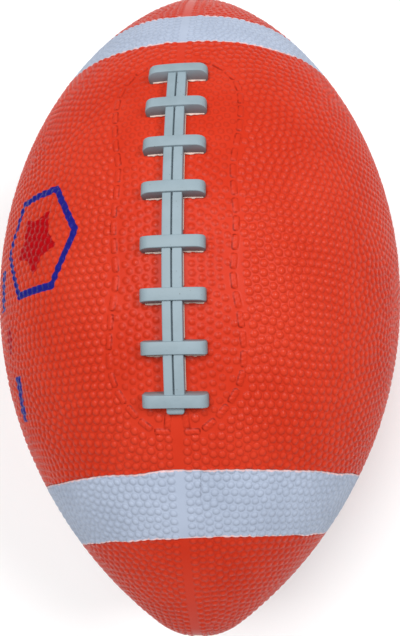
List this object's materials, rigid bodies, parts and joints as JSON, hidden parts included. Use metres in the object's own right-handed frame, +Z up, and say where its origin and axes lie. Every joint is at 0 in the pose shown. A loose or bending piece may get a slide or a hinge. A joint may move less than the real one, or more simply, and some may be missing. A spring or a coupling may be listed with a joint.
{
  "type": "american football",
  "caption": "Moulded rubber football with pointed ends, pebbled panels, contrasting bands near the tips and raised imitation laces, over an air-filled bladder.",
  "frame": {"origin": "under the middle of the ball, on the surface that it lies on", "axes": "+X along the long axis towards the end where the lace has its tail, +Z up through the middle of the lace, +Y towards the side seam with the valve"},
  "size_m": [0.286, 0.1707, 0.1757],
  "materials": {
    "orange_rubber": "moulded, fine pebble, satin",
    "white_rubber": "moulded, fine pebble, satin",
    "lace_rubber": "moulded, smooth satin",
    "carcass_rubber": "calendered sheet, matt",
    "wound_nylon": "wound thread in latex",
    "butyl_rubber": "moulded, satin black",
    "valve_rubber": "moulded, satin black",
    "valve_plug_rubber": "moulded, lubricated"
  },
  "bodies": {
    "root": {"cover_panel_top_left": "orange_rubber", "cover_panel_top_right": "orange_rubber", "cover_panel_bottom_left": "orange_rubber", "cover_panel_bottom_right": "orange_rubber", "end_cap_front": "orange_rubber", "end_cap_rear": "orange_rubber", "white_band_front": "white_rubber", "white_band_rear": "white_rubber", "lace_strip": "lace_rubber", "carcass_left": "carcass_rubber", "carcass_right": "carcass_rubber", "nylon_winding": "wound_nylon", "bladder": "butyl_rubber", "valve_housing": "valve_rubber", "valve_plug": "valve_plug_rubber"}
  },
  "joints": []
}
